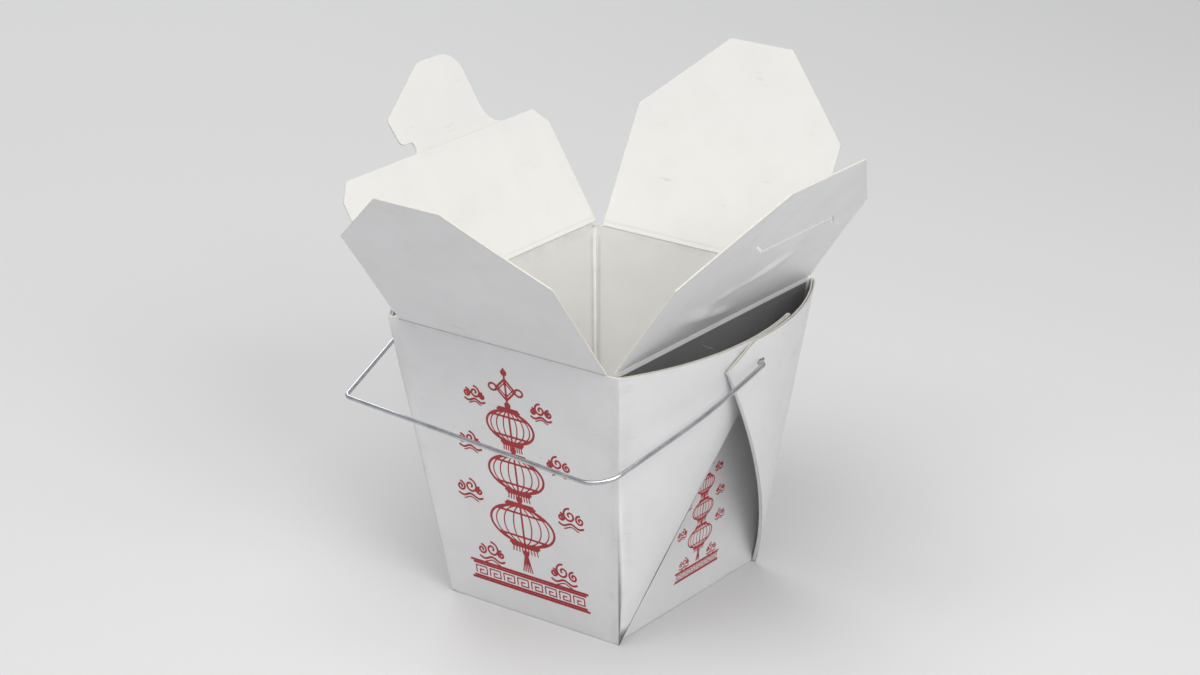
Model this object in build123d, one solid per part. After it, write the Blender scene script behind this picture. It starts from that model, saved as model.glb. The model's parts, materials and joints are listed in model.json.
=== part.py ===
from build123d import *
import math
import os

# Folded paperboard takeout carton with a wire handle, shown open.
# Millimetres, +Z up. The origin is at the middle of the underside of the base.
# The front wall faces -Y. The corner gussets lie on the two side walls, at -X and +X.
# One die-cut sheet makes the base, the four walls and the four gussets. Each gusset is a
# web of board that folds double on its diagonal and wraps round the corner, on the outside
# of the side wall. The four closing flaps hinge on the rim, and the wire handle pins the
# gussets at both sides.

# Paperboard
board = 0.45
ply_gap = 0.20
tuck_gap = 0.10

# Carton body, measured over the outside of the board
base_width = 58.9
base_depth = 67.0
rim_width = 78.3
rim_depth = 93.6
wall_height = 85.7

# Gussets, measured at the rim from their own corner: how far along the side and how far
# off it their middle and their free edge lie. The front pair is a cone from the base
# corner. The back pair lies over it and keeps one curve all the way down the corner.
under_reach = 66.5
under_end_bulge = 9.7
under_middle = 28.0
under_middle_bulge = 10.9
over_reach = 63.8
over_end_bulge = 11.7
over_middle = 35.0
over_middle_bulge = 12.8
chamfer_reach = 49.4
chamfer_drop = 6.4
overrun = 5.0

# Creases of the flaps: each one that closes later sits one step higher
crease_step = 0.5
crease_gap = 0.05
riser_inset = 2.5
side_inset = 0.45

# Plain flaps at front and back
plain_inset = 3.95
plain_shoulder = 37.8
plain_length = 61.8
plain_tip_width = 21.6
front_lean = 36.8
back_lean = 29.0

# Slot flap at +X
slot_lean = 33.8
slot_shoulder = 32.3
slot_shoulder_inset = 0.9
slot_length = 59.6
slot_tip_inset = 28.9
slot_curl = 2.3
slit_width = 0.8
slit_front = -5.8
slit_rear = 28.6
slit_height = 31.4
slit_front_run = 5.8
slit_front_rise = 4.4
slit_rear_run = 2.7
slit_rear_drop = 3.0

# Tab flap at -X, with the hook of its tab towards the front
tab_lean = 31.5
tab_shoulder = 32.1
tab_shoulder_inset = 0.4
tab_top = 37.4
tab_top_inset = 4.8
tab_root_round = 7.0
tab_neck_front = 10.9
tab_notch = 3.5
tab_notch_round = 1.2
tab_neck_rear = 22.0
tab_waist_rear = 20.9
tab_waist = 46.2
tab_waist_round = 12.0
tab_crown = 61.5
tab_crown_rear = 20.0
tab_crown_front = 3.5
tab_crown_round = 7.4
tab_hook = 49.0
tab_hook_front = 17.1
tab_hook_slant = 1.2
tab_hook_round = 1.9

# Wire handle
wire_diameter = 1.24
hole_clearance = 0.12
hole_slot = 2.0
pivot_drop = 7.2
pivot_depth = 0.0
shank_gap = 1.3
hook_gap = 1.6
hook_length = 7.0
arm_knee = 0.4
arm_bow = 2.2
arm_round = 150.0
hook_tilt = 1.2
hook_bend = 1.0
shoulder_bend = 1.1
grip_depth = 60.3
grip_half = 43.6
grip_right_height = 60.6
grip_left_height = 65.4
grip_right_bend = 9.0
grip_left_bend = 2.2

# Worked out from the sizes above
double_ply = 2 * board + ply_gap
pivot_height = wall_height - pivot_drop
fold_width = 2 * board
stack = double_ply + tuck_gap


def lerp(low, high, share):
    return low + (high - low) * share


def half_front(share):
    """Half width of the front and back walls at a share of the wall height."""
    return lerp(base_width, rim_width, share) / 2


def half_depth(share):
    """Half depth over the front and back walls at a share of the wall height."""
    return lerp(base_depth, rim_depth, share) / 2


def side_face(share):
    """Distance from the middle to the outer face of a side wall."""
    return half_front(share) - stack


def corner_place(side, end, along, off, share):
    """Point given from a corner of the carton: along the side, off it, at a height share."""
    x = side * (half_front(share) + off)
    y = end * (half_depth(share) - along)
    return Vector(x, y, wall_height * share)


def over_curve(side, end):
    """Foot, direction and circle of the over gusset: its corner line, its middle and its
    free edge, seen along the corner."""
    foot = corner_place(side, end, 0, 0, 0)
    slant = corner_place(side, end, 0, 0, 1) - foot
    up = slant.normalized()
    marks = [foot]
    for along, off in ((over_middle, over_middle_bulge), (over_reach, over_end_bulge)):
        mark = corner_place(side, end, along, off, 1)
        marks.append(mark - up * up.dot(mark - foot))
    circle = Edge.make_three_point_arc(*marks)
    return circle.arc_center, up, circle.radius


def over_tube(side, end, depth):
    """Round bar whose face is the over gusset at a depth below its outer face."""
    centre, up, radius = over_curve(side, end)
    plane = Plane(origin=centre - up * rim_width, z_dir=up)
    height = wall_height + 2 * rim_width
    align = (Align.CENTER, Align.CENTER, Align.MIN)
    return plane * Cylinder(radius - depth, height, align=align)


def over_sheet(side, end, near, far):
    """Board between two depths of the over gusset."""
    return over_tube(side, end, near) - over_tube(side, end, far)


def under_cone(side, end, depth):
    """Cone through the corner line, the middle and the free edge of the under gusset."""
    apex = corner_place(side, end, 0, 0, 0)
    rays = []
    for along, off in ((0, 0), (under_middle, under_middle_bulge), (under_reach, under_end_bulge)):
        rays.append((corner_place(side, end, along, off, 1) - apex).normalized())
    axis = (rays[1] - rays[0]).cross(rays[2] - rays[0]).normalized() * (side * -end)
    angle = math.acos(axis.dot(rays[0]))
    length = wall_height + under_reach
    plane = Plane(origin=apex + axis * (depth / math.sin(angle)), z_dir=axis)
    return plane * Cone(
        0,
        length * math.tan(angle),
        length,
        align=(Align.CENTER, Align.CENTER, Align.MIN),
    )


def under_sheet(side, end, near, far):
    """Board between two depths of the under gusset."""
    return under_cone(side, end, near) - under_cone(side, end, far)


def side_cutter(side, end, corners):
    """Block seen from the side: (along, share) corners, pushed out through a side wall."""
    points = []
    for along, share in corners:
        place = corner_place(side, end, along, 0, share)
        points.append((0, place.Y, place.Z))
    reach = rim_width
    return extrude(Face(Wire.make_polygon(points)), amount=reach, dir=(side, 0, 0))


def make_gusset(side, end, sheet, reach, tip):
    """Web of board folded double along its free edge, from the corner to that edge."""
    top = tip[1]
    fold_top = reach * top
    outline = [(0, 0), (0, 1), tip]
    if top < 1:
        outline = [(0, 0), (0, 1), (tip[0], 1), (fold_top, top)]
    fold = [(0, 0), (fold_top, top), (fold_top - fold_width, top), (-fold_width, 0)]
    plies = sheet(side, end, 0, board) + sheet(side, end, board + ply_gap, double_ply)
    plies &= side_cutter(side, end, outline)
    edge = sheet(side, end, 0, double_ply) & side_cutter(side, end, fold)
    edge &= side_cutter(side, end, outline)
    return plies + edge


def tapered_block(half_x, half_y, low, high):
    """Block with sloping sides: its half sizes follow the walls between two heights."""
    low_x, low_y = half_x(low / wall_height), half_y(low / wall_height)
    high_x, high_y = half_x(high / wall_height), half_y(high / wall_height)
    block = Wedge(
        2 * low_x,
        high - low,
        2 * low_y,
        low_x - high_x,
        low_y - high_y,
        low_x + high_x,
        low_y + high_y,
        align=Align.NONE,
    )
    return Pos(-low_x, low_y, low) * Rot(90, 0, 0) * block


def make_carton_body():
    """Base, four walls and four gussets, folded from one sheet."""
    tub = tapered_block(side_face, half_depth, 0, wall_height)
    tub += tapered_block(half_front, half_depth, 0, wall_height) - tapered_block(
        lambda share: half_front(share) + overrun,
        lambda share: half_depth(share) - board,
        -overrun,
        wall_height + overrun,
    )
    room = tapered_block(
        lambda share: side_face(share) - board,
        lambda share: half_depth(share) - board,
        board,
        wall_height + overrun,
    )
    core = tapered_block(
        lambda share: side_face(share) - board / 2,
        lambda share: half_depth(share) + overrun,
        -overrun,
        wall_height + overrun,
    )
    chamfer_share = 1 - chamfer_drop / wall_height
    body = tub
    for side in (-1, 1):
        under = make_gusset(side, -1, under_sheet, under_reach, (under_reach, 1))
        over = make_gusset(side, 1, over_sheet, over_reach, (chamfer_reach, chamfer_share))
        body += under - core
        body += over - core
    body -= room
    for riser in make_risers():
        body += riser
    for side in (-1, 1):
        body -= handle_hole(side)
    return body


def crease_rise(name):
    """Height of a flap's crease step above the front wall's rim."""
    return {"front": 0, "back": 1, "slot": 2, "tab": 3}[name] * crease_step


def make_risers():
    """Strips that carry the rim up to the creases that close later."""
    mid_x = side_face(1) - board / 2
    mid_y = half_depth(1) - board / 2
    long_x = 2 * (half_front(1) - riser_inset)
    long_y = 2 * (half_depth(1) - riser_inset)
    layout = (
        ("back", 0, mid_y, long_x, board),
        ("slot", mid_x, 0, board, long_y),
        ("tab", -mid_x, 0, board, long_y),
    )
    risers = []
    for name, x, y, size_x, size_y in layout:
        rise = crease_rise(name)
        box = Box(size_x, size_y, rise + board)
        risers.append(Pos(x, y, wall_height + (rise - board) / 2) * box)
    return risers


def over_face(height):
    """Outer face of the over gusset at the pivot's depth, as a distance from the middle."""
    centre, up, radius = over_curve(1, 1)
    start = Vector(0, pivot_depth, height) - centre
    start -= up * up.dot(start)
    ray = Vector(1, 0, 0) - up * up.X
    size = ray.dot(ray)
    middle = start.dot(ray)
    return (math.sqrt(middle ** 2 - size * (start.dot(start) - radius ** 2)) - middle) / size


def handle_hole(side):
    """Slot through the gussets for the wire, clear of the side wall."""
    width = wire_diameter + 2 * hole_clearance
    outline = SlotOverall(width + hole_slot, width)
    start = side_face(pivot_height / wall_height) + board
    length = over_face(pivot_height) + wire_diameter - start
    plane = Plane(
        origin=(side * start, pivot_depth + hole_slot / 2, pivot_height),
        x_dir=(0, 1, 0),
        z_dir=(side, 0, 0),
    )
    return extrude(plane * outline, amount=length)


def crease_place(name):
    """Outward direction of a flap and the middle of its crease."""
    lift = crease_rise(name) + board / 2 + crease_gap
    mid_x = side_face(1) - board / 2
    mid_y = half_depth(1) - board / 2
    outward = {
        "front": (0, -1),
        "back": (0, 1),
        "slot": (1, 0),
        "tab": (-1, 0),
    }[name]
    origin = Vector(outward[0] * mid_x, outward[1] * mid_y, wall_height + lift)
    return Vector(outward[0], outward[1], 0), origin


def flap_plane(name, lean):
    """Plane of a flap at rest: X along the crease, Y up the flap, Z out of the carton."""
    outward, origin = crease_place(name)
    angle = math.radians(lean)
    along = Vector(0, 0, 1).cross(outward)
    normal = outward * math.cos(angle) - Vector(0, 0, 1) * math.sin(angle)
    return Plane(origin=origin, x_dir=along, z_dir=normal)


def rounded_outline(corners):
    """Face inside straight lines, with each corner rounded: (x, y, radius) for each."""
    edges = []
    first = None
    last = None
    for index, (x, y, radius) in enumerate(corners):
        here = Vector(x, y)
        before = Vector(*corners[index - 1][:2])
        after = Vector(*corners[(index + 1) % len(corners)][:2])
        back = (before - here).normalized()
        ahead = (after - here).normalized()
        half_angle = math.acos(back.dot(ahead)) / 2
        start = here + back * (radius / math.tan(half_angle))
        stop = here + ahead * (radius / math.tan(half_angle))
        if last is None:
            first = start
        else:
            edges.append(Edge.make_line(last, start))
        if radius > 0:
            middle = (back + ahead).normalized()
            away = radius / math.sin(half_angle) - radius
            edges.append(Edge.make_three_point_arc(start, here + middle * away, stop))
        last = stop
    edges.append(Edge.make_line(last, first))
    return Face(Wire(edges))


def crease_bead(width):
    """Rolled edge that turns on the crease line."""
    return Rot(0, 90, 0) * Cylinder(board / 2, width)


def make_plain_flap(name, lean):
    """Flat flap with square shoulders and a narrow tip."""
    width = rim_width - 2 * plain_inset
    half = width / 2
    tip = plain_tip_width / 2
    points = [
        (-half, 0),
        (half, 0),
        (half, plain_shoulder),
        (tip, plain_length),
        (-tip, plain_length),
        (-half, plain_shoulder),
    ]
    panel = extrude(make_face(Polyline(*points, close=True)), board / 2, both=True)
    return flap_plane(name, lean) * (panel + crease_bead(width))


def make_slot_flap():
    """Flap that curls outward, with the slit that takes the tab."""
    half = rim_depth / 2 - side_inset
    shoulder = half - slot_shoulder_inset
    tip = half - slot_tip_inset
    outline = make_face(
        Polyline(
            (-half, 0),
            (half, 0),
            (shoulder, slot_shoulder),
            (tip, slot_length),
            (-tip, slot_length),
            (-shoulder, slot_shoulder),
            close=True,
        )
    )
    outline -= make_slit()
    blank = extrude(outline, 2 * slot_curl, both=True)
    curl = []
    for face in (-board / 2, board / 2):
        points = []
        for share in (0.0, 0.5, 1.0):
            points.append(Vector(0, slot_length * share, slot_curl * share ** 2 + face))
        curl.append(points)
    lower, upper = curl
    section = Wire(
        [
            Edge.make_three_point_arc(*lower),
            Edge.make_line(lower[2], upper[2]),
            Edge.make_three_point_arc(*upper[::-1]),
            Edge.make_line(upper[0], lower[0]),
        ]
    )
    curled = extrude(Face(section), amount=half + board, dir=(1, 0, 0), both=True)
    panel = curled & blank
    return flap_plane("slot", slot_lean) * (panel + crease_bead(2 * half))


def make_slit():
    """Slit that takes the tab: one long cut, and a short slanted cut at each end."""
    front = Vector(slit_front, slit_height)
    rear = Vector(slit_rear, slit_height)
    marks = [
        front + Vector(-slit_front_run, slit_front_rise),
        front,
        rear,
        rear + Vector(slit_rear_run, -slit_rear_drop),
    ]
    slit = Sketch()
    for start, stop in zip(marks, marks[1:]):
        cut = stop - start
        middle = (start + stop) / 2
        angle = math.degrees(math.atan2(cut.Y, cut.X))
        slit += Pos(middle) * Rot(0, 0, angle) * Rectangle(cut.length + slit_width, slit_width)
    return slit


def make_tab_flap():
    """Flap with the hooked tab that locks into the slit."""
    half = rim_depth / 2 - side_inset
    shoulder = half - tab_shoulder_inset
    top = half - tab_top_inset
    hook_floor = tab_top + tab_notch
    outline = rounded_outline(
        [
            (-half, 0, 0),
            (half, 0, 0),
            (shoulder, tab_shoulder, 0),
            (top, tab_top, 0),
            (tab_neck_front, tab_top, tab_notch_round),
            (tab_neck_front, hook_floor, tab_notch_round),
            (tab_hook_front - tab_hook_slant, hook_floor, tab_hook_round),
            (tab_hook_front, tab_hook, tab_hook_round),
            (-tab_crown_front, tab_crown, tab_crown_round),
            (-tab_crown_rear, tab_crown, tab_crown_round),
            (-tab_waist_rear, tab_waist, tab_waist_round),
            (-tab_neck_rear, tab_top, tab_root_round),
            (-top, tab_top, 0),
            (-shoulder, tab_shoulder, 0),
        ]
    )
    flat = extrude(outline, board / 2, both=True)
    return flap_plane("tab", tab_lean) * (flat + crease_bead(2 * half))


def make_wire_handle():
    """Bail of round wire: hooked ends behind the gussets, two arms and the grip."""
    radius = wire_diameter / 2
    outer = over_face(pivot_height)
    shank = outer + shank_gap + radius
    hook = outer - 2 * double_ply - hook_gap - radius
    pivot = Vector(0, pivot_depth, pivot_height)
    points = []
    for side, height in ((1, grip_right_height), (-1, grip_left_height)):
        corner = Vector(side * grip_half, -grip_depth, height)
        run = Vector(0, corner.Y - pivot.Y, corner.Z - pivot.Z)
        root = Vector(side * shank, pivot.Y, pivot.Z)
        knee = root + (corner - root) * arm_knee + Vector(side * arm_bow, 0, 0)
        heel = Vector(side * hook, pivot.Y, pivot.Z)
        tip = heel + run.normalized() * hook_length - Vector(side * hook_tilt, 0, 0)
        end = [tip, heel, root, knee, corner]
        points += end if side > 0 else end[::-1]
    radii = [
        hook_bend,
        shoulder_bend,
        arm_round,
        grip_right_bend,
        grip_left_bend,
        arm_round,
        shoulder_bend,
        hook_bend,
    ]
    path = FilletPolyline(*points, radius=radii)
    section = Plane(origin=path @ 0, z_dir=path % 0) * Circle(radius)
    return sweep(section, path=path)


os.makedirs("parts", exist_ok=True)
nodes = {
    "carton_body": make_carton_body(),
    "front_flap": make_plain_flap("front", front_lean),
    "back_flap": make_plain_flap("back", back_lean),
    "slot_flap": make_slot_flap(),
    "tab_flap": make_tab_flap(),
    "wire_handle": make_wire_handle(),
}
for node, shape in nodes.items():
    export_step(shape, os.path.join("parts", node + ".step"))
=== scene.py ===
import json
import math

import bmesh
import bpy
import numpy as np
from mathutils import Matrix, Vector


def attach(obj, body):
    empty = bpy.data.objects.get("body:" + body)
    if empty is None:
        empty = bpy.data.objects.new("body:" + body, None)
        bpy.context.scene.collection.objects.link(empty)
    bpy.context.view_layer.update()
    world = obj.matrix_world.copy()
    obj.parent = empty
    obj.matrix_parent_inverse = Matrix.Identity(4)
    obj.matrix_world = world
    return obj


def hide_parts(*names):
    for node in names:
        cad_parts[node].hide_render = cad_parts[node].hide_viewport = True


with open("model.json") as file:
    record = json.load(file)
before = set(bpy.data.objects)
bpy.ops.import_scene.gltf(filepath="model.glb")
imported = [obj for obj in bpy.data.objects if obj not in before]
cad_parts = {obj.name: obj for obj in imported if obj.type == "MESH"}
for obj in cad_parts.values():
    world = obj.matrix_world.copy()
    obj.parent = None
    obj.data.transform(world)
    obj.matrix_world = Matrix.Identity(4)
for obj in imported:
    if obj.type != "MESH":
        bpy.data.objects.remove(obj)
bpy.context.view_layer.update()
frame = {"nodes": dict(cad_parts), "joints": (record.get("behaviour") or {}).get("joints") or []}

# Floor: a plain sheet of pale matt card, far wider than the carton and lying flat under
# it, so that it fills the view from every side and takes the soft shadow.
FLOOR_HALF = 4.0
FLOOR_COLOUR = (0.66, 0.66, 0.665, 1.0)
floor_mesh = bpy.data.meshes.new("card_floor")
floor_corners = [
    (x * FLOOR_HALF, y * FLOOR_HALF, 0) for x, y in ((-1, -1), (1, -1), (1, 1), (-1, 1))
]
floor_mesh.from_pydata(floor_corners, [], [(0, 1, 2, 3)])
card_floor = bpy.data.objects.new("card_floor", floor_mesh)
bpy.context.scene.collection.objects.link(card_floor)
floor_paint = bpy.data.materials.new("floor_card")
floor_paint.use_nodes = True
floor_shader = floor_paint.node_tree.nodes["Principled BSDF"]
floor_shader.inputs["Base Color"].default_value = FLOOR_COLOUR
floor_shader.inputs["Roughness"].default_value = 0.9
floor_shader.inputs["Specular IOR Level"].default_value = 0.2
floor_mesh.materials.append(floor_paint)


# Carton body: one die-cut sheet of coated paperboard, folded up into a base, four walls and
# four double corner gussets that wrap round the outside of the side walls. Outside it is
# clay coated and smooth, inside it is warmer, and its cut edges show the cream core.
WELD = 1e-6
FLAT_TURN = math.radians(0.4)
SHARP_TURN = math.radians(24)
JOINT_PLACE = {joint["name"]: joint["pos_m"] for joint in frame["joints"]}
BASE_WIDTH, BASE_DEPTH = 0.0589, 0.0670
RIM_WIDTH, RIM_DEPTH = 0.0783, 0.0936
WALL_HEIGHT = 0.0857
BOARD = 0.00045
SIDE_STACK = 0.0012
COATED_WHITE = (0.770, 0.772, 0.782, 1.0)
LINING_WHITE = (0.775, 0.768, 0.745, 1.0)
CORE_CREAM = (0.77, 0.74, 0.67, 1.0)
# Grey of real scuffs and rubbed wear; it also gives the painted shade in the score grooves.
SCUFF_AND_SHADE_GREY = (0.55, 0.54, 0.53, 1.0)
FOLD_RADIUS = 0.0013
EDGE_RADIUS = 0.00022
HOLE_HALF_HEIGHT = 0.0009
HOLE_HALF_LENGTH = 0.003


def link_piece(name, mesh):
    piece = bpy.data.objects.new(name, mesh)
    bpy.context.scene.collection.objects.link(piece)
    return piece


def welded_copy(node, name, whole_faces=True):
    """Copy of a CAD node with its loose triangles joined and its flat faces made whole."""
    board = bmesh.new()
    board.from_mesh(frame["nodes"][node].data)
    bmesh.ops.remove_doubles(board, verts=board.verts, dist=WELD)
    if whole_faces:
        bmesh.ops.dissolve_limit(
            board,
            angle_limit=FLAT_TURN,
            verts=board.verts,
            edges=board.edges,
        )
    mesh = bpy.data.meshes.new(name)
    board.to_mesh(mesh)
    board.free()
    return mesh


def slice_board(mesh, origin, direction, low, high, pitch):
    """Cuts a mesh by parallel planes, so that its flat faces can bend a little."""
    board = bmesh.new()
    board.from_mesh(mesh)
    count = max(1, int(round((high - low) / pitch)))
    for index in range(1, count):
        place = Vector(origin) + Vector(direction) * (low + (high - low) * index / count)
        bmesh.ops.bisect_plane(
            board,
            geom=board.verts[:] + board.edges[:] + board.faces[:],
            dist=WELD,
            plane_co=place,
            plane_no=direction,
        )
    board.to_mesh(mesh)
    board.free()


def finish_shading(mesh):
    mesh.shade_smooth()
    mesh.set_sharp_from_angle(angle=SHARP_TURN)


def node_maker(tree):
    """Short way to add a node, set its sockets and link what feeds it."""

    def make(kind, settings=None, **sockets):
        node = tree.nodes.new(kind)
        for key, value in (settings or {}).items():
            setattr(node, key, value)
        for key, value in sockets.items():
            if key[0] == "s" and key[1:].isdigit():
                socket = node.inputs[int(key[1:])]
            else:
                socket = node.inputs[key.replace("_", " ")]
            if isinstance(value, bpy.types.NodeSocket):
                tree.links.new(value, socket)
            else:
                socket.default_value = value
        return node

    return make


def coated_board(name, scratch_along, scores=(), folds=False):
    """Coated paperboard: white clay coat, fibre grain, scuffs, painted shade along its score lines,
    a warmer lining and core.
    """
    paint = bpy.data.materials.new(name)
    paint.use_nodes = True
    tree = paint.node_tree
    make = node_maker(tree)
    shader = tree.nodes["Principled BSDF"]

    def maths(operation, *values):
        sockets = {f"s{index}": value for index, value in enumerate(values)}
        return make("ShaderNodeMath", {"operation": operation}, **sockets).outputs[0]

    def ramp(value, low, high, at_low=0.0, at_high=1.0):
        settings = {"interpolation_type": "SMOOTHSTEP"}
        sockets = dict(From_Min=low, From_Max=high, To_Min=at_low, To_Max=at_high)
        return make("ShaderNodeMapRange", settings, Value=value, **sockets).outputs[0]

    def blend(share, first, second):
        mix = make("ShaderNodeMix", {"data_type": "RGBA"}, s0=share, s6=first, s7=second)
        return mix.outputs[2]

    def dimmed(colour, level):
        return tuple(channel * level for channel in colour[:3]) + (1.0,)

    def noise(vector, scale, detail, roughness):
        sockets = dict(Vector=vector, Scale=scale, Detail=detail, Roughness=roughness)
        return make("ShaderNodeTexNoise", **sockets).outputs["Fac"]

    place = make("ShaderNodeTexCoord").outputs["Object"]
    mottle = noise(place, 70.0, 5.0, 0.6)
    grain = noise(place, 1500.0, 3.0, 0.55)
    wave = noise(place, 34.0, 2.0, 0.5)
    streak_place = make("ShaderNodeMapping", Vector=place)
    streak_place.inputs["Scale"].default_value = scratch_along
    streak = noise(streak_place.outputs[0], 120.0, 4.0, 0.7)
    scratch = maths("MULTIPLY", ramp(streak, 0.60, 0.70), ramp(mottle, 0.50, 0.62))
    core = make("ShaderNodeAttribute", {"attribute_name": "cut_edge"}).outputs["Fac"]
    lining = make("ShaderNodeAttribute", {"attribute_name": "lining"}).outputs["Fac"]

    tone = ramp(mottle, 0.3, 0.7)
    coat = blend(tone, COATED_WHITE, dimmed(COATED_WHITE, 0.965))
    inner = blend(tone, LINING_WHITE, dimmed(LINING_WHITE, 0.97))
    face = blend(lining, coat, inner)
    face = blend(maths("MULTIPLY", scratch, 0.55), face, SCUFF_AND_SHADE_GREY)
    radius = EDGE_RADIUS
    groove = None
    if folds:
        axes = make("ShaderNodeSeparateXYZ", Vector=place).outputs
        share = maths("DIVIDE", axes[2], WALL_HEIGHT)
        away = []
        for axis, low, high in ((0, BASE_WIDTH, RIM_WIDTH), (1, BASE_DEPTH, RIM_DEPTH)):
            half = maths("MULTIPLY_ADD", share, (high - low) / 2, low / 2)
            away.append(maths("ABSOLUTE", maths("SUBTRACT", half, maths("ABSOLUTE", axes[axis]))))
        near_both_walls = ramp(maths("MAXIMUM", *away), 0.0020, 0.0045, 1, 0)
        corner = maths("MULTIPLY", near_both_walls, ramp(share, 0.96, 0.99, 1, 0))
        fold = maths("MAXIMUM", corner, ramp(axes[2], 0.0015, 0.0035, 1, 0))
        radius = maths("MULTIPLY_ADD", fold, FOLD_RADIUS - EDGE_RADIUS, EDGE_RADIUS)
        handled = maths("MAXIMUM", maths("MULTIPLY", fold, 0.8), ramp(share, 0.975, 1.0))
        rubbed = maths("MULTIPLY", handled, ramp(mottle, 0.44, 0.64))
        face = blend(maths("MULTIPLY", rubbed, 0.22), face, SCUFF_AND_SHADE_GREY)
    if scores:
        height = make("ShaderNodeAttribute", {"attribute_name": "up_flap"}).outputs["Fac"]
        for level, width in scores:
            near = maths("ABSOLUTE", maths("SUBTRACT", height, level))
            line = ramp(near, 0.0, width, 1, 0)
            groove = line if groove is None else maths("MAXIMUM", groove, line)
        # Painted shade: each score line is darkened towards grey, standing for shade in its groove.
        face = blend(maths("MULTIPLY", groove, 0.14), face, SCUFF_AND_SHADE_GREY)
    fibre = ramp(grain, 0.35, 0.65, 0.90, 1.0)
    scaling = {"operation": "SCALE"}
    core_colour = make("ShaderNodeVectorMath", scaling, Vector=CORE_CREAM[:3], Scale=fibre)
    tree.links.new(blend(core, face, core_colour.outputs[0]), shader.inputs["Base Color"])
    gloss = maths("MULTIPLY_ADD", core, 0.4, ramp(mottle, 0.3, 0.7, 0.36, 0.48))
    tree.links.new(maths("MULTIPLY_ADD", scratch, 0.12, gloss), shader.inputs["Roughness"])
    shader.inputs["Specular IOR Level"].default_value = 0.45
    normal = make("ShaderNodeBevel", {"samples": 6}, Radius=radius).outputs[0]
    reliefs = [
        (wave, 0.30, 0.0014),
        (grain, 0.35, 0.00003),
        (maths("SUBTRACT", 1.0, scratch), 0.2, 0.00004),
    ]
    if groove is not None:
        reliefs.append((maths("SUBTRACT", 1.0, groove), 0.6, 0.00008))
    for relief, strength, distance in reliefs:
        sockets = dict(Strength=strength, Distance=distance, Height=relief, Normal=normal)
        normal = make("ShaderNodeBump", **sockets).outputs[0]
    tree.links.new(normal, shader.inputs["Normal"])
    return paint


def wall_half(share, low, high):
    return (low + (high - low) * share) / 2


def mark_board(mesh, is_core, is_lining):
    """Stores which faces show the cut core and which are the lining."""
    for name, test in (("cut_edge", is_core), ("lining", is_lining)):
        attribute = mesh.attributes.new(name, "FLOAT", "FACE")
        values = [float(test(face.center, face.normal)) for face in mesh.polygons]
        attribute.data.foreach_set("value", values)


def body_core(centre, normal):
    """Cut board shows on the rims and inside the holes for the wire."""
    rim = normal.z > 0.75 and centre.z / WALL_HEIGHT > 0.9
    level = abs(centre.z - JOINT_PLACE["handle_swing"][2])
    in_hole = level < HOLE_HALF_HEIGHT and abs(centre.y) < HOLE_HALF_LENGTH
    return rim or (in_hole and abs(normal.x) < 0.5)


def body_lining(centre, normal):
    """The lining shows in the tub and on the inner faces of the gussets."""
    share = min(max(centre.z / WALL_HEIGHT, 0), 1)
    side = wall_half(share, BASE_WIDTH, RIM_WIDTH) - SIDE_STACK
    front = wall_half(share, BASE_DEPTH, RIM_DEPTH)
    inside_tub = abs(centre.x) < side - BOARD / 2 and abs(centre.y) < front - BOARD / 2
    if inside_tub:
        return centre.z > BOARD / 2
    return abs(centre.x) > side + BOARD and normal.x * centre.x < -0.2 * abs(centre.x)


body_mesh = welded_copy("carton_body", "carton_board", whole_faces=False)
finish_shading(body_mesh)
mark_board(body_mesh, body_core, body_lining)
body_mesh.materials.append(coated_board("body_board", (1.0, 0.5, 14.0), folds=True))
carton_board = link_piece("carton_board", body_mesh)
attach(carton_board, "carton_body")
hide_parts("carton_body")


# Front and back flaps: plain hexagonal ends of the same sheet, scored along the rim.
# They were folded out by hand, so they bow slightly and their outer faces are scuffed.
def flap_axes(joint):
    """Root, direction along the crease, direction up the flap and outer normal of a flap."""
    lean, origin, outward = joint
    angle = math.radians(lean)
    out = Vector(outward)
    along = Vector((0, 0, 1)).cross(out)
    normal = out * math.cos(angle) - Vector((0, 0, 1)) * math.sin(angle)
    return Vector(origin), along, normal.cross(along), normal


def make_flap(node, name, joint, shape, pitch, **finish):
    """Flap from its CAD node: sliced into a fine net, then bent a little by shape(u, v)."""
    origin, along, up, normal = flap_axes(joint)
    mesh = welded_copy(node, name)
    corners = [vertex.co - origin for vertex in mesh.vertices]
    for direction in (along, up):
        spans = [corner.dot(direction) for corner in corners]
        slice_board(mesh, origin, direction, min(spans), max(spans), pitch)
    heights = []
    for vertex in mesh.vertices:
        place = vertex.co - origin
        heights.append(place.dot(up))
        vertex.co += normal * shape(place.dot(along), place.dot(up))
    mesh.update()
    mesh.attributes.new("up_flap", "FLOAT", "POINT").data.foreach_set("value", heights)
    finish_shading(mesh)

    def is_core(centre, face_normal):
        return abs(face_normal.dot(normal)) < 0.55 and (centre - origin).dot(up) > BOARD

    def is_lining(centre, face_normal):
        return face_normal.dot(normal) < 0

    mark_board(mesh, is_core, is_lining)
    mesh.materials.append(coated_board(name + "_board", **finish))
    piece = link_piece(name, mesh)
    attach(piece, node)
    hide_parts(node)


FRONT_JOINT = (36.8, JOINT_PLACE["front_flap_crease"], (0, -1, 0))
BACK_JOINT = (29.0, JOINT_PLACE["back_flap_crease"], (0, 1, 0))
STREAKS_ALONG_X = (0.6, 8.0, 8.0)
STREAKS_ALONG_Y = (8.0, 0.6, 8.0)
PLAIN_LENGTH = 0.0618
PLAIN_BOW = 0.00045
PLAIN_BOW_WIDTH = 0.020
PLAIN_PITCH = 0.004
PLAIN_SCORES = ((0.0011, 0.0006),)


def plain_bow(u, v):
    """Slight bow across the flap, fading to nothing at the crease and at the tip."""
    rise = math.sin(math.pi * min(max(v / PLAIN_LENGTH, 0), 1))
    return PLAIN_BOW * rise * math.cos(u / PLAIN_BOW_WIDTH)


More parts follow.
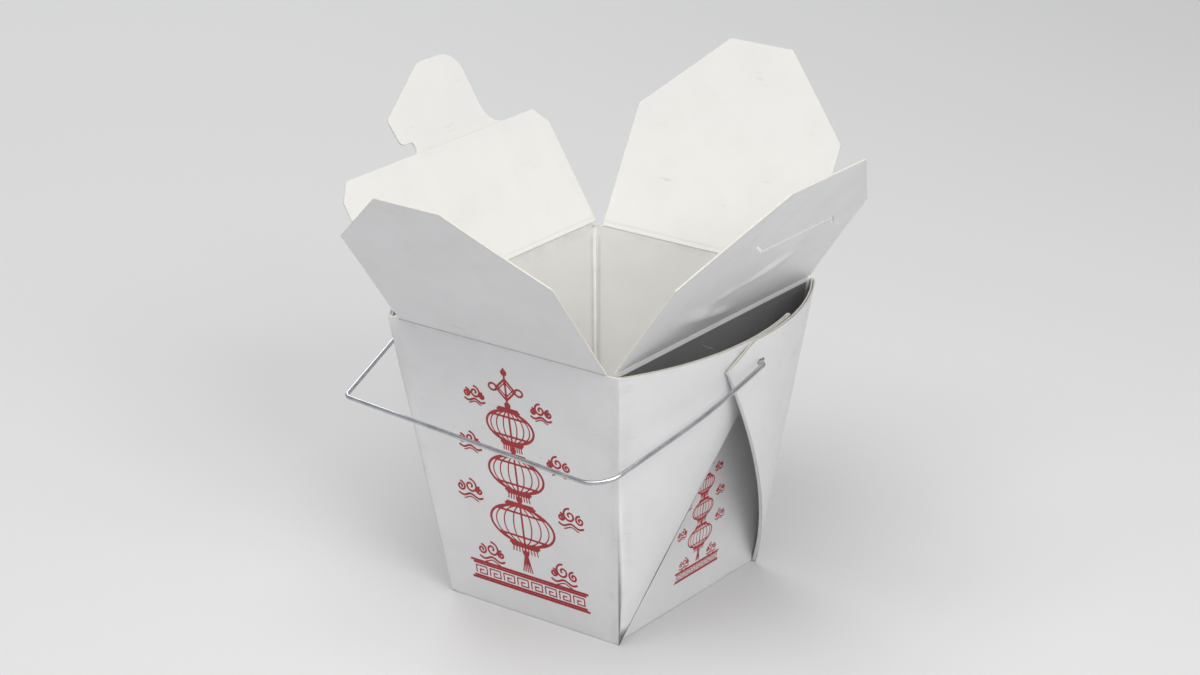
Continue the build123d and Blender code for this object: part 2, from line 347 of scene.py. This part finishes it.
for node, joint in (("front_flap", FRONT_JOINT), ("back_flap", BACK_JOINT)):
    make_flap(
        node,
        node + "_board",
        joint,
        plain_bow,
        PLAIN_PITCH,
        scratch_along=STREAKS_ALONG_X,
        scores=PLAIN_SCORES,
    )


# Slot flap: the same board, curled outward, with the slit that takes the tab. It was pushed
# open by hand, which left soft dents near its root. A dent is its middle along and up the
# flap, its length, width and turn, and its depth; dents only stand out from the outer face.
SLOT_SCORES = ((0.0011, 0.0004), (0.0030, 0.0004))
SLOT_JOINT = (33.8, JOINT_PLACE["slot_flap_crease"], (1, 0, 0))
SLOT_PITCH = 0.0011
ROOT_FADE = 0.002
DENTS = (
    (-0.016, 0.0095, 0.0085, 0.0026, -0.30, 0.00105),
    (0.004, 0.0125, 0.0120, 0.0022, 0.20, -0.00105),
    (0.010, 0.0185, 0.0110, 0.0024, 0.35, 0.00095),
    (-0.004, 0.0060, 0.0060, 0.0016, -0.30, 0.00055),
    (-0.008, 0.0150, 0.0045, 0.0018, 0.10, 0.00045),
    (0.024, 0.0290, 0.0180, 0.0042, 0.45, -0.00110),
)


def slot_dents(u, v):
    """Soft dents, faded out at the crease. Inward ones only flatten their neighbours."""
    lift = 0.0
    for centre_u, centre_v, long, wide, turn, depth in DENTS:
        du, dv = u - centre_u, v - centre_v
        a = (du * math.cos(turn) + dv * math.sin(turn)) / long
        b = (-du * math.sin(turn) + dv * math.cos(turn)) / wide
        lift += depth * math.exp(-(a * a + b * b))
    return max(lift, 0) * min(max(v / ROOT_FADE, 0), 1)


make_flap(
    "slot_flap",
    "slot_flap_board",
    SLOT_JOINT,
    slot_dents,
    SLOT_PITCH,
    scratch_along=STREAKS_ALONG_Y,
    scores=SLOT_SCORES,
)


# Tab flap: the same board, with the hooked tab that locks into the slit. The tab is
# scored across its neck and stands a little steeper than the flap below it.
TAB_JOINT = (31.5, JOINT_PLACE["tab_flap_crease"], (-1, 0, 0))
TAB_PITCH = 0.002
TAB_LOW, TAB_HIGH = -0.030, 0.022
TAB_SCORE = 0.0372
TAB_STEEPER = math.radians(2.5)
TAB_SCORES = ((0.0011, 0.0006), (TAB_SCORE, 0.0003))


def tab_bend(u, v):
    """Tilts all that lies past the score across the neck of the tab."""
    past = max(0.0, v - TAB_SCORE)
    return -past * math.tan(TAB_STEEPER) if TAB_LOW < u < TAB_HIGH else 0.0


make_flap(
    "tab_flap",
    "tab_flap_board",
    TAB_JOINT,
    tab_bend,
    TAB_PITCH,
    scratch_along=STREAKS_ALONG_Y,
    scores=TAB_SCORES,
)


# Printed decoration: deep red offset ink on the front, back and side walls. It is a generic
# string of three paper lanterns on a knotted cord, with cloud curls and a fret band below.
INK_DEEP = (0.30, 0.006, 0.012, 1.0)
INK_THIN = (0.44, 0.022, 0.028, 1.0)
INK_LIFT = 0.00004
INK_STEP = 0.00020
LINE = 0.00062
FINE_LINE = 0.00038
STROKE_MARGIN = 0.0012
CORD_LOW, CORD_TOP = 0.0206, 0.0800
KNOT_LEVEL, KNOT_SIZE = 0.0735, 0.0033
BEAD_LEVELS = (0.0788, 0.0686, 0.0545, 0.0387, 0.0212)
BEAD_RADIUS = 0.0006
LANTERNS = ((0.0618, 0.0080, 0.0049), (0.0468, 0.0094, 0.0055), (0.0303, 0.0110, 0.0062))
CLOUDS = (
    (0.0112, 0.0700, 0.0019),
    (0.0150, 0.0545, 0.0021),
    (0.0172, 0.0385, 0.0023),
    (0.0124, 0.0190, 0.0024),
)
TASSEL_TOP, TASSEL_LOW, TASSEL_HALF = 0.0204, 0.0152, 0.0016
FRET_HALF, FRET_FOOT, FRET_HEIGHT, FRET_COUNT = 0.0196, 0.0088, 0.0042, 8
RAIL_HALF, RAIL_LEVELS = 0.0204, (0.0080, 0.0138)
SHEET_LOW, SHEET_HIGH = (-0.0225, 0.0068), (0.0225, 0.0810)


def arc_points(cx, cy, rx, ry, start, stop, count=16):
    turns = np.linspace(math.radians(start), math.radians(stop), count)
    return [(cx + rx * math.cos(t), cy + ry * math.sin(t)) for t in turns]


def curl_points(cx, cy, size, side, turns=1.35, count=30):
    """Cloud curl: a spiral that opens away from the middle."""
    points = []
    for share in np.linspace(0, 1, count):
        angle = math.pi * (0.5 + 2 * turns * share)
        radius = size * (1 - 0.82 * share)
        points.append((cx + side * radius * math.cos(angle), cy + radius * math.sin(angle)))
    return points


def lantern_strokes(y, rx, ry):
    """One ribbed paper lantern: outline, ribs, binding, solid caps and a fringe."""
    strokes = [(arc_points(0, y, rx, ry, 0, 360, 60), LINE * 1.2)]
    for share in (0.28, 0.58, 0.83):
        strokes.append((arc_points(0, y, rx * share, ry, 0, 360, 48), FINE_LINE))
    strokes.append(([(0, y - ry), (0, y + ry)], FINE_LINE))
    for level in (-0.62, 0.62):
        half = rx * math.sqrt(1 - level * level)
        strokes.append(([(-half, y + ry * level), (half, y + ry * level)], LINE))
    for end in (-1, 1):
        for rise, share in ((0.0002, 0.46), (0.0008, 0.40)):
            cap_y = y + end * (ry + rise)
            strokes.append(([(-rx * share, cap_y), (rx * share, cap_y)], LINE * 1.1))
    for x in np.linspace(-rx * 0.36, rx * 0.36, 9):
        strokes.append(([(x, y - ry - 0.0008), (x * 1.08, y - ry - 0.0027)], FINE_LINE))
    return strokes


def cloud_strokes(x, y, size):
    """A pair of cloud curls with a trailing line under them, mirrored on both sides."""
    strokes = []
    for side in (-1, 1):
        for shift, drop, share, way in ((0, 0, 1, 1), (1.5, 0.35, 0.68, 1), (-1.3, 0.45, 0.55, -1)):
            curl_x = side * (x + size * shift)
            curl = curl_points(curl_x, y - size * drop, size * share, side * way)
            strokes.append((curl, LINE))
        trail = []
        for share in np.linspace(0, 1, 16):
            wave = 0.22 * math.sin(share * 3 * math.pi)
            trail.append((side * (x + size * (3.6 * share - 1.7)), y - size * (1.35 + wave)))
        strokes.append((trail, LINE))
        strokes.append(([(px, py - size * 0.42) for px, py in trail[3:13]], FINE_LINE))
    return strokes


def knot_strokes(y, size):
    """Flat cord knot: a woven square on its corner, with a loop at each side."""
    strokes = []
    square = [(0, y + size), (size, y), (0, y - size), (-size, y), (0, y + size)]
    strokes.append((square, LINE))
    half = size / 2
    for share in (-0.34, 0.34):
        shift = size * share
        for way in (1, -1):
            start = (shift - half, y + way * (shift + half))
            stop = (shift + half, y + way * (shift - half))
            strokes.append(([start, stop], FINE_LINE))
    for side in (-1, 1):
        loop = arc_points(side * size * 1.35, y, size * 0.40, size * 0.32, 0, 360, 20)
        strokes.append((loop, LINE))
    return strokes


def fret_strokes(x0, x1, y0, height, count):
    """Fret band: square spirals between two rules."""
    strokes = [([(x0, y0), (x1, y0)], LINE), ([(x0, y0 + height), (x1, y0 + height)], LINE)]
    cell = (x1 - x0) / count
    low, high = y0 + height * 0.22, y0 + height * 0.78
    middle = (low + high) / 2
    for index in range(count):
        left = x0 + cell * index + cell * 0.12
        right = left + cell * 0.76
        spiral = [
            (left, low),
            (left, high),
            (right, high),
            (right, low),
            (left + cell * 0.26, low),
            (left + cell * 0.26, middle),
            (right - cell * 0.24, middle),
        ]
        strokes.append((spiral, FINE_LINE))
    return strokes


def lantern_column():
    """Whole drawing: knotted cord, three lanterns, a tassel, clouds and the fret band."""
    strokes = [([(0, CORD_LOW), (0, CORD_TOP)], LINE)]
    strokes += knot_strokes(KNOT_LEVEL, KNOT_SIZE)
    for y in BEAD_LEVELS:
        bead = arc_points(0, y, BEAD_RADIUS, BEAD_RADIUS, 0, 360, 14)
        strokes.append((bead, LINE * 1.5))
    for y, rx, ry in LANTERNS:
        strokes += lantern_strokes(y, rx, ry)
    for x, y, size in CLOUDS:
        strokes += cloud_strokes(x, y, size)
    for x in np.linspace(-TASSEL_HALF, TASSEL_HALF, 5):
        strokes.append(([(x * 0.3, TASSEL_TOP), (x, TASSEL_LOW)], FINE_LINE))
    strokes += fret_strokes(-FRET_HALF, FRET_HALF, FRET_FOOT, FRET_HEIGHT, FRET_COUNT)
    for rail in RAIL_LEVELS:
        strokes.append(([(-RAIL_HALF, rail), (RAIL_HALF, rail)], LINE * 1.2))
    return strokes


def stroke_field(strokes, xs, ys):
    """Signed distance from the nearest stroke's edge, below zero inside the ink."""
    gx, gy = np.meshgrid(xs, ys)
    field = np.full(gx.shape, 1.0)
    margin = STROKE_MARGIN
    for points, width in strokes:
        for (ax, ay), (bx, by) in zip(points, points[1:]):
            columns = np.where((xs > min(ax, bx) - margin) & (xs < max(ax, bx) + margin))[0]
            rows = np.where((ys > min(ay, by) - margin) & (ys < max(ay, by) + margin))[0]
            if not len(columns) or not len(rows):
                continue
            part = np.ix_(rows, columns)
            dx, dy = bx - ax, by - ay
            length = dx * dx + dy * dy
            share = ((gx[part] - ax) * dx + (gy[part] - ay) * dy) / max(length, 1e-15)
            share = np.clip(share, 0, 1)
            away = np.hypot(gx[part] - ax - share * dx, gy[part] - ay - share * dy) - width / 2
            field[part] = np.minimum(field[part], away)
    return field


def ink_sheet(strokes, low, high):
    """Faces of the inked area: every grid cell is kept whole, clipped at the edge, or left."""
    xs = np.arange(low[0], high[0], INK_STEP)
    ys = np.arange(low[1], high[1], INK_STEP)
    field = stroke_field(strokes, xs, ys)
    verts, faces, known = [], [], {}

    def corner(i, j):
        key = (i, j)
        if key not in known:
            known[key] = len(verts)
            verts.append((xs[i], ys[j]))
        return known[key]

    def crossing(i, j, k, l):
        key = ((i, j), (k, l)) if (i, j) < (k, l) else ((k, l), (i, j))
        if key not in known:
            (a, b), (c, d) = key
            share = field[b, a] / (field[b, a] - field[d, c])
            share = min(max(share, 0.02), 0.98)
            known[key] = len(verts)
            x = xs[a] + (xs[c] - xs[a]) * share
            y = ys[b] + (ys[d] - ys[b]) * share
            verts.append((x, y))
        return known[key]

    inked = field < 0
    for j in range(len(ys) - 1):
        for i in range(len(xs) - 1):
            ring = ((i, j), (i + 1, j), (i + 1, j + 1), (i, j + 1))
            held = [inked[b, a] for a, b in ring]
            if not any(held):
                continue
            if all(held):
                faces.append([corner(a, b) for a, b in ring])
                continue
            face = []
            for index in range(4):
                here, after = ring[index], ring[(index + 1) % 4]
                if held[index]:
                    face.append(corner(*here))
                if held[index] != held[(index + 1) % 4]:
                    face.append(crossing(*here, *after))
            if len(face) > 2:
                faces.append(face)
    return verts, faces


ink = bpy.data.materials.new("lantern_ink")
ink.use_nodes = True
ink_make = node_maker(ink.node_tree)
ink_shader = ink.node_tree.nodes["Principled BSDF"]
ink_place = ink_make("ShaderNodeTexCoord").outputs["Object"]
ink_patch = ink_make(
    "ShaderNodeTexNoise", Vector=ink_place, Scale=420.0, Detail=4.0, Roughness=0.65
)
ink_tone = ink_make("ShaderNodeValToRGB", Fac=ink_patch.outputs["Fac"])
ink_tone.color_ramp.elements[0].position = 0.30
ink_tone.color_ramp.elements[0].color = INK_DEEP
ink_tone.color_ramp.elements[1].position = 0.72
ink_tone.color_ramp.elements[1].color = INK_THIN
ink.node_tree.links.new(ink_tone.outputs[0], ink_shader.inputs["Base Color"])
ink_gloss = ink_make(
    "ShaderNodeMapRange",
    Value=ink_patch.outputs["Fac"],
    From_Min=0.3,
    From_Max=0.7,
    To_Min=0.34,
    To_Max=0.5,
)
ink.node_tree.links.new(ink_gloss.outputs[0], ink_shader.inputs["Roughness"])
ink_bump = ink_make(
    "ShaderNodeBump", Strength=0.3, Distance=0.00002, Height=ink_patch.outputs["Fac"]
)
ink.node_tree.links.new(ink_bump.outputs[0], ink_shader.inputs["Normal"])


def print_wall(name, sheet, foot, along, up, scale, shift):
    """Lays an ink sheet on a wall as a closed film: proud of the board, its back sunk in it."""
    verts, faces = sheet
    out = along.cross(up).normalized()
    flat = [foot + along * (x * scale + shift) + up * (y * scale) for x, y in verts]
    film = [place + out * INK_LIFT for place in flat]
    film += [place - out * INK_LIFT / 4 for place in flat]
    count = len(verts)
    edges = {}
    for face in faces:
        for a, b in zip(face, face[1:] + face[:1]):
            edges[(a, b)] = edges.get((a, b), 0) + 1
    skirt = [(a + count, b + count, b, a) for a, b in edges if (b, a) not in edges]
    back = [[corner + count for corner in reversed(face)] for face in faces]
    mesh = bpy.data.meshes.new(name)
    mesh.from_pydata(film, [], faces + back + [list(quad) for quad in skirt])
    mesh.materials.append(ink)
    piece = link_piece(name, mesh)
    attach(piece, "carton_body")
    return piece


def side_wall(side):
    """Foot and upward direction of the outer face of a side wall."""
    foot = Vector((side * (BASE_WIDTH / 2 - SIDE_STACK), 0, 0))
    rise = Vector((side * (RIM_WIDTH - BASE_WIDTH) / 2, 0, WALL_HEIGHT)).normalized()
    return foot, rise


lantern_sheet = ink_sheet(lantern_column(), SHEET_LOW, SHEET_HIGH)
for end, name in ((-1, "front_print"), (1, "back_print")):
    foot = Vector((0, end * BASE_DEPTH / 2, 0))
    top = Vector((0, end * RIM_DEPTH / 2, WALL_HEIGHT))
    across = Vector((-end, 0, 0))
    print_wall(name, lantern_sheet, foot, across, (top - foot).normalized(), 1.0, 0.0)
SIDE_PRINT_SCALE = 0.52
SIDE_PRINT_SHIFT = 0.0035
SIDE_PRINT_FOOT = 0.0042
for side, name in ((1, "right_print"), (-1, "left_print")):
    foot, rise = side_wall(side)
    foot.z = SIDE_PRINT_FOOT
    foot.x += rise.x / rise.z * foot.z
    across, shift = Vector((0, side, 0)), side * SIDE_PRINT_SHIFT
    print_wall(name, lantern_sheet, foot, across, rise, SIDE_PRINT_SCALE, shift)


# Crescent cuts: a short curved cut that the die makes in each side wall, near the rim and
# behind the wire. Each is drawn as a thin dark line in the pocket of the gusset: a painted
# shadow of the cut, which is not cut into the wall.
NICK_POINTS = (
    (-0.0063, 0.0832),
    (-0.0052, 0.0819),
    (-0.0031, 0.0807),
    (-0.0008, 0.0798),
    (0.0010, 0.0781),
)
NICK_WIDTH = 0.00030
NICK_LOW, NICK_HIGH = (-0.0072, 0.0772), (0.0020, 0.0842)
NICK_SHADOW_DARK = (0.20, 0.18, 0.16, 1.0)
NICK_SHADOW_PALE = (0.45, 0.41, 0.35, 1.0)
nick_sheet = ink_sheet([(NICK_POINTS, NICK_WIDTH)], NICK_LOW, NICK_HIGH)
nick_painted_shadow = bpy.data.materials.new("nick_painted_shadow")
nick_painted_shadow.use_nodes = True
nick_make = node_maker(nick_painted_shadow.node_tree)
nick_shader = nick_painted_shadow.node_tree.nodes["Principled BSDF"]
nick_place = nick_make("ShaderNodeTexCoord").outputs["Object"]
nick_noise = nick_make("ShaderNodeTexNoise", Vector=nick_place, Scale=900.0, Detail=3.0)
# Painted shadow: dark brown tones, mottled by noise, stand for the shade inside the cut.
nick_shadow_tone = nick_make("ShaderNodeValToRGB", Fac=nick_noise.outputs["Fac"])
nick_shadow_tone.color_ramp.elements[0].color = NICK_SHADOW_DARK
nick_shadow_tone.color_ramp.elements[1].color = NICK_SHADOW_PALE
nick_painted_shadow.node_tree.links.new(nick_shadow_tone.outputs[0], nick_shader.inputs["Base Color"])
nick_shader.inputs["Roughness"].default_value = 0.9
for side, name in ((1, "right_nick_shadow"), (-1, "left_nick_shadow")):
    foot, rise = side_wall(side)
    nick = print_wall(name, nick_sheet, foot, Vector((0, side, 0)), rise, 1.0, 0.0)
    nick.data.materials[0] = nick_painted_shadow


# Wire handle: galvanised steel wire, bent cold on a former. Its hooked ends pass through the
# gussets and pin them, so nothing on the carton is glued.
ZINC_DULL = (0.46, 0.47, 0.49, 1.0)
ZINC_BRIGHT = (0.60, 0.61, 0.63, 1.0)
WIRE_SHARP_TURN = math.radians(50)
wire_mesh = welded_copy("wire_handle", "handle_wire")
wire_mesh.shade_smooth()
wire_mesh.set_sharp_from_angle(angle=WIRE_SHARP_TURN)
zinc = bpy.data.materials.new("galvanised_wire")
zinc.use_nodes = True
zinc_make = node_maker(zinc.node_tree)
zinc_shader = zinc.node_tree.nodes["Principled BSDF"]
zinc_place = zinc_make("ShaderNodeTexCoord").outputs["Object"]
zinc_patch = zinc_make(
    "ShaderNodeTexNoise", Vector=zinc_place, Scale=260.0, Detail=3.0, Roughness=0.5
)
zinc_line_place = zinc_make("ShaderNodeMapping", Vector=zinc_place)
zinc_line_place.inputs["Scale"].default_value = (0.05, 1.0, 1.0)
zinc_line = zinc_make(
    "ShaderNodeTexNoise", Vector=zinc_line_place.outputs[0], Scale=3200.0, Detail=2.0
)
zinc_tone = zinc_make("ShaderNodeValToRGB", Fac=zinc_patch.outputs["Fac"])
zinc_tone.color_ramp.elements[0].position = 0.30
zinc_tone.color_ramp.elements[0].color = ZINC_DULL
zinc_tone.color_ramp.elements[1].position = 0.70
zinc_tone.color_ramp.elements[1].color = ZINC_BRIGHT
zinc.node_tree.links.new(zinc_tone.outputs[0], zinc_shader.inputs["Base Color"])
zinc_shader.inputs["Metallic"].default_value = 1.0
zinc_gloss = zinc_make(
    "ShaderNodeMapRange",
    Value=zinc_patch.outputs["Fac"],
    From_Min=0.3,
    From_Max=0.7,
    To_Min=0.17,
    To_Max=0.26,
)
zinc.node_tree.links.new(zinc_gloss.outputs[0], zinc_shader.inputs["Roughness"])
zinc_bump = zinc_make(
    "ShaderNodeBump", Strength=0.05, Distance=0.00001, Height=zinc_line.outputs["Fac"]
)
zinc.node_tree.links.new(zinc_bump.outputs[0], zinc_shader.inputs["Normal"])
wire_mesh.materials.append(zinc)
handle_wire = link_piece("handle_wire", wire_mesh)
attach(handle_wire, "wire_handle")
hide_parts("wire_handle")


# Studio: a large soft key almost overhead, a fill from the right of about its power, a
# weaker lamp from the rear left and an even surround, low enough that no white clips.
def soft_lamp(name, place, target, size, power, colour):
    light = bpy.data.lights.new(name, "AREA")
    light.shape = "RECTANGLE"
    light.size, light.size_y = size
    light.energy = power
    light.color = colour
    lamp = bpy.data.objects.new(name, light)
    lamp.location = place
    lamp.rotation_euler = (Vector(target) - Vector(place)).to_track_quat("-Z", "Y").to_euler()
    bpy.context.scene.collection.objects.link(lamp)


CENTRE = (0, 0, 0.07)
soft_lamp("key_light", (0.05, -0.35, 1.05), CENTRE, (0.75, 0.75), 6.0, (1.0, 0.99, 0.97))
soft_lamp("fill_light", (0.92, -0.42, 0.80), CENTRE, (0.60, 0.50), 6.2, (1.0, 0.985, 0.96))
soft_lamp("back_light", (-0.80, 0.55, 0.75), CENTRE, (0.60, 0.60), 3.0, (1.0, 1.0, 1.0))
world = bpy.data.worlds.new("studio")
world.use_nodes = True
world.node_tree.nodes["Background"].inputs["Color"].default_value = (0.97, 0.98, 1.0, 1.0)
world.node_tree.nodes["Background"].inputs["Strength"].default_value = 0.44
bpy.context.scene.world = world

# Camera: the photograph's view, a little above the rim and off the front right corner.
AZIMUTH = math.radians(36.7)
ELEVATION = math.radians(22.6)
ROLL = math.radians(-0.2)
TARGET = Vector((0, 0, 0.05172))
DISTANCE = 0.890
LENS = 94.76
SENSOR_WIDTH = 36.0
SHIFT = (-0.0042, 0.0605)
camera_data = bpy.data.cameras.new("camera")
camera_data.lens = LENS
camera_data.sensor_width = SENSOR_WIDTH
camera_data.shift_x, camera_data.shift_y = SHIFT
camera = bpy.data.objects.new("camera", camera_data)
away = Vector(
    (
        math.sin(AZIMUTH) * math.cos(ELEVATION),
        -math.cos(AZIMUTH) * math.cos(ELEVATION),
        math.sin(ELEVATION),
    )
)
look = (-away).to_track_quat("-Z", "Y").to_matrix().to_4x4()
stand = Matrix.Translation(TARGET + away * DISTANCE)
camera.matrix_world = stand @ look @ Matrix.Rotation(ROLL, 4, "Z")
bpy.context.scene.collection.objects.link(camera)
bpy.context.scene.camera = camera
bpy.context.scene.view_settings.view_transform = "Standard"
